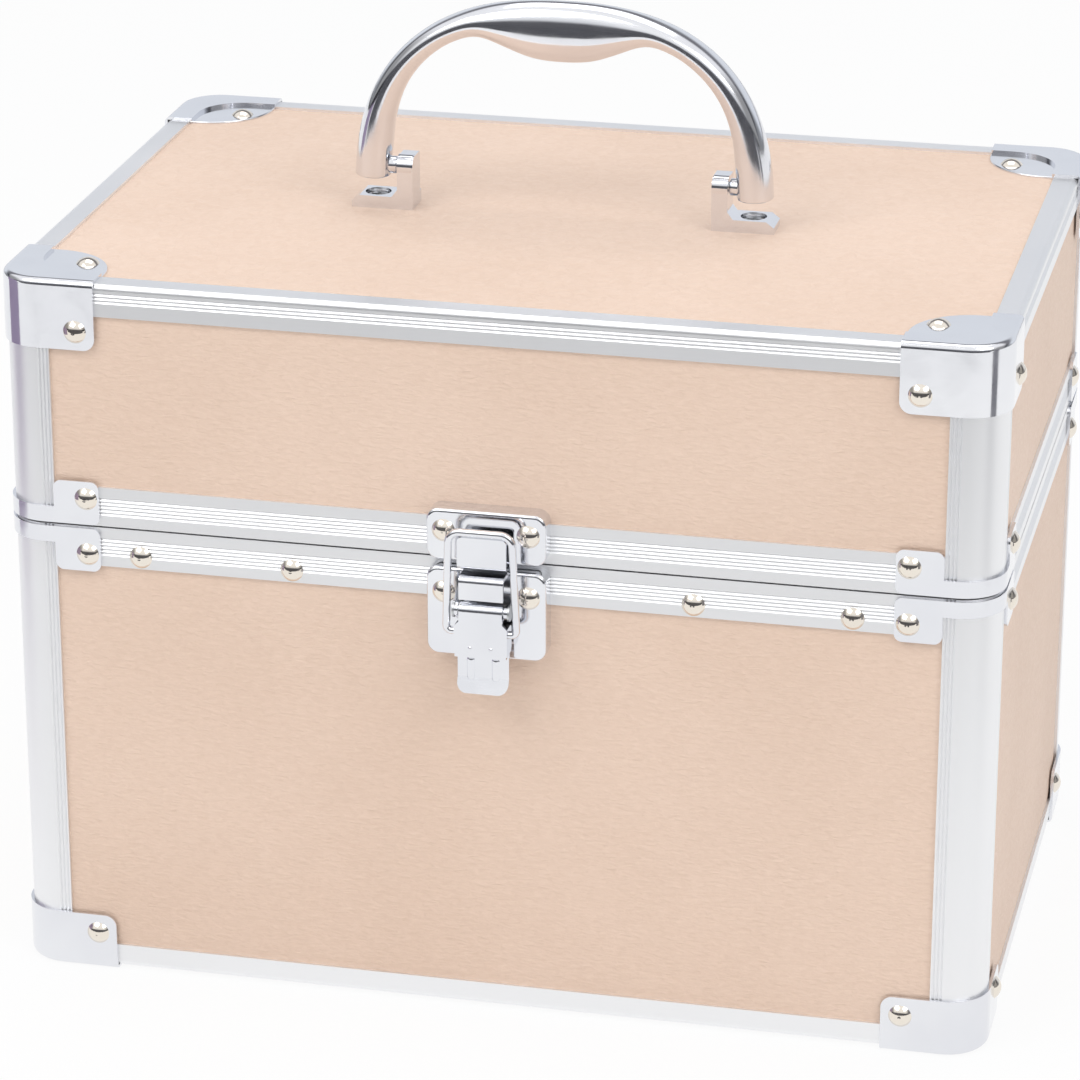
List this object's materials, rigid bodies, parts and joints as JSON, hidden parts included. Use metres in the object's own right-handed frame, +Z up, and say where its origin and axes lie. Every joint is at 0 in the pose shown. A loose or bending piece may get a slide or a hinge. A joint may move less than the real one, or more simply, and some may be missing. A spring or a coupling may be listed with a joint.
{
  "type": "makeup storage case",
  "caption": "Hard-sided makeup case: leatherette panels in an aluminium frame with metal corners, draw latch, fold-down handle, hinged lid and swinging trays.",
  "frame": {"origin": "centre of the overall box, on the plane that the case stands on", "axes": "+X to the right seen from the latch, +Y to the back, +Z up; the latch faces -Y"},
  "size_m": [0.2516, 0.1824, 0.24],
  "materials": {
    "leatherette": "fine pebbled grain, satin, peach beige",
    "aluminium": "silver anodised, fine drawn lines",
    "polished_metal": "polished nickel plate",
    "rivet_metal": "polished nickel plate, slightly warm",
    "steel": "nickel-plated steel",
    "board": "fibreboard",
    "lining": "short black velvet",
    "tray_plastic": "black moulded plastic, fine texture",
    "mirror": "silvered glass"
  },
  "bodies": {
    "base": {"base_back_board": "board", "base_back_skin": "leatherette", "base_bottom_board": "board", "base_bottom_corner_caps": "polished_metal", "base_bottom_rails": "aluminium", "base_bottom_skin": "leatherette", "base_corner_posts": "aluminium", "base_corner_rivets": "rivet_metal", "base_front_board": "board", "base_front_skin": "leatherette", "base_left_board": "board", "base_lining": "lining", "base_right_board": "board", "base_rim_corner_caps": "polished_metal", "base_rim_rails": "aluminium", "base_side_skins": "leatherette", "hinge_base_leaves": "steel", "hinge_base_rivets": "steel", "hinge_pins": "steel", "latch_base_plate": "polished_metal", "latch_base_rivets": "rivet_metal", "latch_lever_pin": "steel", "tray_pivot_rivets": "rivet_metal"},
    "lid": {"handle_bracket_left": "polished_metal", "handle_bracket_right": "polished_metal", "handle_bracket_screws": "steel", "handle_pivot_pins": "steel", "hinge_lid_leaves": "steel", "hinge_lid_rivets": "steel", "latch_keeper": "polished_metal", "latch_keeper_rivets": "rivet_metal", "lid_back_board": "board", "lid_back_skin": "leatherette", "lid_corner_posts": "aluminium", "lid_corner_rivets": "rivet_metal", "lid_front_board": "board", "lid_front_skin": "leatherette", "lid_left_board": "board", "lid_lining": "lining", "lid_mirror": "mirror", "lid_right_board": "board", "lid_rim_corner_caps": "polished_metal", "lid_rim_rails": "aluminium", "lid_side_skins": "leatherette", "lid_top_board": "board", "lid_top_corner_caps": "polished_metal", "lid_top_rails": "aluminium", "lid_top_skin": "leatherette"},
    "handle": {"handle": "polished_metal"},
    "latch_lever": {"latch_lever": "polished_metal"},
    "latch_bail": {"latch_bail": "polished_metal"},
    "left_tray": {"left_tray": "tray_plastic", "left_tray_rivets": "steel"},
    "right_tray": {"right_tray": "tray_plastic", "right_tray_rivets": "steel"},
    "left_outer_arms": {"left_outer_arms": "steel"},
    "left_inner_arms": {"left_inner_arms": "steel"},
    "right_outer_arms": {"right_outer_arms": "steel"},
    "right_inner_arms": {"right_inner_arms": "steel"}
  },
  "joints": [
    {"name": "lid_hinge", "type": "hinge", "parent": "base", "child": "lid", "pos_m": [0, 0.089, 0.1215], "axis": [-1, 0, 0], "range_deg": [0, 100]},
    {"name": "handle_hinge", "type": "hinge", "parent": "lid", "child": "handle", "pos_m": [0, 0.0004, 0.1948], "axis": [1, 0, 0], "range_deg": [-90, 90]},
    {"name": "latch_lever_hinge", "type": "hinge", "parent": "base", "child": "latch_lever", "pos_m": [0, -0.0886, 0.1117], "axis": [-1, 0, 0], "range_deg": [0, 105]},
    {"name": "latch_bail_hinge", "type": "hinge", "parent": "latch_lever", "child": "latch_bail", "pos_m": [0, -0.0892, 0.1063], "axis": [-1, 0, 0], "range_deg": [-126, 0]},
    {"name": "left_outer_arms_hinge", "type": "hinge", "parent": "base", "child": "left_outer_arms", "pos_m": [-0.0888, 0, 0.1142], "axis": [0, -1, 0], "range_deg": [0, 70]},
    {"name": "left_inner_arms_hinge", "type": "hinge", "parent": "base", "child": "left_inner_arms", "pos_m": [-0.0501, 0, 0.1142], "axis": [0, -1, 0], "range_deg": [0, 70]},
    {"name": "left_tray_hinge", "type": "hinge", "parent": "left_outer_arms", "child": "left_tray", "pos_m": [-0.06341, 0, 0.09642], "axis": [0, -1, 0], "range_deg": [-70, 0]},
    {"name": "right_outer_arms_hinge", "type": "hinge", "parent": "base", "child": "right_outer_arms", "pos_m": [0.0888, 0, 0.1142], "axis": [0, 1, 0], "range_deg": [0, 70]},
    {"name": "right_inner_arms_hinge", "type": "hinge", "parent": "base", "child": "right_inner_arms", "pos_m": [0.0501, 0, 0.1142], "axis": [0, 1, 0], "range_deg": [0, 70]},
    {"name": "right_tray_hinge", "type": "hinge", "parent": "right_outer_arms", "child": "right_tray", "pos_m": [0.06341, 0, 0.09642], "axis": [0, 1, 0], "range_deg": [-70, 0]}
  ],
  "couplings": [
    {"joint": "latch_bail_hinge", "follows": "latch_lever_hinge", "ratio": -1.2},
    {"joint": "left_inner_arms_hinge", "follows": "left_outer_arms_hinge", "ratio": 1},
    {"joint": "left_tray_hinge", "follows": "left_outer_arms_hinge", "ratio": -1},
    {"joint": "right_inner_arms_hinge", "follows": "right_outer_arms_hinge", "ratio": 1},
    {"joint": "right_tray_hinge", "follows": "right_outer_arms_hinge", "ratio": -1}
  ]
}
